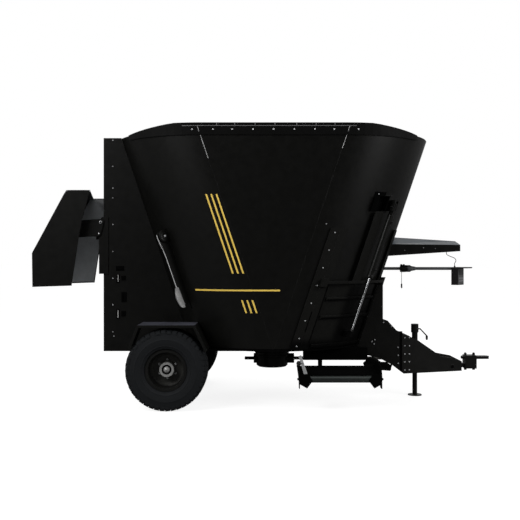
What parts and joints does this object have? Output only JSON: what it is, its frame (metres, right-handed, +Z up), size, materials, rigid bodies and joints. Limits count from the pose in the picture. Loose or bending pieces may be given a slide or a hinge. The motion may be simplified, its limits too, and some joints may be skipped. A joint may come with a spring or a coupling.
{
  "type": "trailed vertical feed mixer wagon",
  "caption": "Trailed wagon that mixes animal feed with one upright auger in a slanted tub and lets it out by sliding doors.",
  "frame": {"origin": "on the ground, under the middle of the overall box", "axes": "+X forward to the tow tongue, +Y to the machine's left, +Z up"},
  "size_m": [5.415, 2.4, 3.13],
  "materials": {
    "black_paint": "satin black paint on sheet steel",
    "grey_zinc": "zinc plated",
    "bright_steel": "polished rod or drum",
    "worn_steel": "bare steel worn by feed",
    "tyre_rubber": "matt tyre rubber",
    "black_rubber": "matt rubber",
    "grey_plastic": "moulded housing"
  },
  "bodies": {
    "root": {"tub_front_wall": "black_paint", "tub_rear_wall": "black_paint", "tub_side_right": "black_paint", "tub_side_left": "black_paint", "tub_floor": "black_paint", "rim_band_right": "black_rubber", "rim_band_left": "black_rubber", "rear_frame": "black_paint", "rear_door_barrel": "black_paint", "side_door_frame": "black_paint", "side_door_bracket": "black_paint", "side_door_barrel": "black_paint", "restrictor_bracket_right": "black_paint", "restrictor_bracket_left": "black_paint", "axle_beam": "black_paint", "fender_right": "black_paint", "fender_left": "black_paint", "rail_right": "black_paint", "rail_left": "black_paint", "drawbar_frame": "black_paint", "hitch_block": "black_paint", "hitch_tongue": "black_paint", "jack_body": "black_paint", "jack_crank": "black_paint", "gearbox": "black_paint", "input_shaft": "worn_steel", "tray_support": "black_paint", "front_canopy": "black_paint", "indicator_arm": "grey_zinc", "indicator_box": "grey_plastic", "indicator_cable": "black_rubber", "lanyard": "black_rubber", "lanyard_handle": "black_rubber"},
    "auger": {"auger": "worn_steel"},
    "wheel_right": {"tyre_right": "tyre_rubber", "rim_right": "black_paint", "hub_right": "grey_zinc"},
    "wheel_left": {"tyre_left": "tyre_rubber", "rim_left": "black_paint", "hub_left": "grey_zinc"},
    "side_door": {"side_door": "black_paint", "side_door_rod": "bright_steel"},
    "rear_door": {"rear_door": "black_paint", "rear_door_rod": "bright_steel"},
    "rear_hood": {"rear_hood": "black_paint", "hood_arm_right": "black_paint", "hood_arm_left": "black_paint"},
    "restrictor_right": {"restrictor_right": "black_paint"},
    "restrictor_left": {"restrictor_left": "black_paint"},
    "tray": {"tray": "black_paint"},
    "tray_roller": {"tray_roller": "bright_steel"},
    "jack_leg": {"jack_leg": "black_paint"}
  },
  "joints": [
    {"name": "auger_spin", "type": "hinge", "parent": "root", "child": "auger", "pos_m": [0.0525, 0, 0.66], "axis": [0, 0, 1], "continuous": true},
    {"name": "wheel_right_spin", "type": "hinge", "parent": "root", "child": "wheel_right", "pos_m": [-1.10807, -1, 0.441], "axis": [0, 1, 0], "continuous": true},
    {"name": "wheel_left_spin", "type": "hinge", "parent": "root", "child": "wheel_left", "pos_m": [-1.10807, 1, 0.441], "axis": [0, 1, 0], "continuous": true},
    {"name": "side_door_slide", "type": "slide", "parent": "root", "child": "side_door", "axis": [0.3205, 0, 0.9473], "range_m": [0, 0.55]},
    {"name": "rear_door_slide", "type": "slide", "parent": "root", "child": "rear_door", "axis": [0, 0, 1], "range_m": [0, 0.74]},
    {"name": "rear_hood_hinge", "type": "hinge", "parent": "root", "child": "rear_hood", "pos_m": [-1.945, 0, 2.07], "axis": [0, 1, 0], "range_deg": [-34, 11]},
    {"name": "restrictor_right_hinge", "type": "hinge", "parent": "root", "child": "restrictor_right", "pos_m": [-1.18525, -0.75702, 1.893], "axis": [-0.6645, 0.7126, -0.2248], "range_deg": [-11, 0]},
    {"name": "restrictor_left_hinge", "type": "hinge", "parent": "root", "child": "restrictor_left", "pos_m": [1.29025, 0.75702, 1.893], "axis": [0.6645, -0.7126, -0.2248], "range_deg": [-11, 0]},
    {"name": "tray_hinge", "type": "hinge", "parent": "root", "child": "tray", "pos_m": [0.77, -0.71, 0.43], "axis": [1, 0, 0], "range_deg": [-7, 25]},
    {"name": "tray_roller_spin", "type": "hinge", "parent": "tray", "child": "tray_roller", "pos_m": [0.77, -1.15, 0.348], "axis": [1, 0, 0], "continuous": true},
    {"name": "jack_slide", "type": "slide", "parent": "root", "child": "jack_leg", "axis": [0, 0, 1], "range_m": [0, 0.25]}
  ]
}
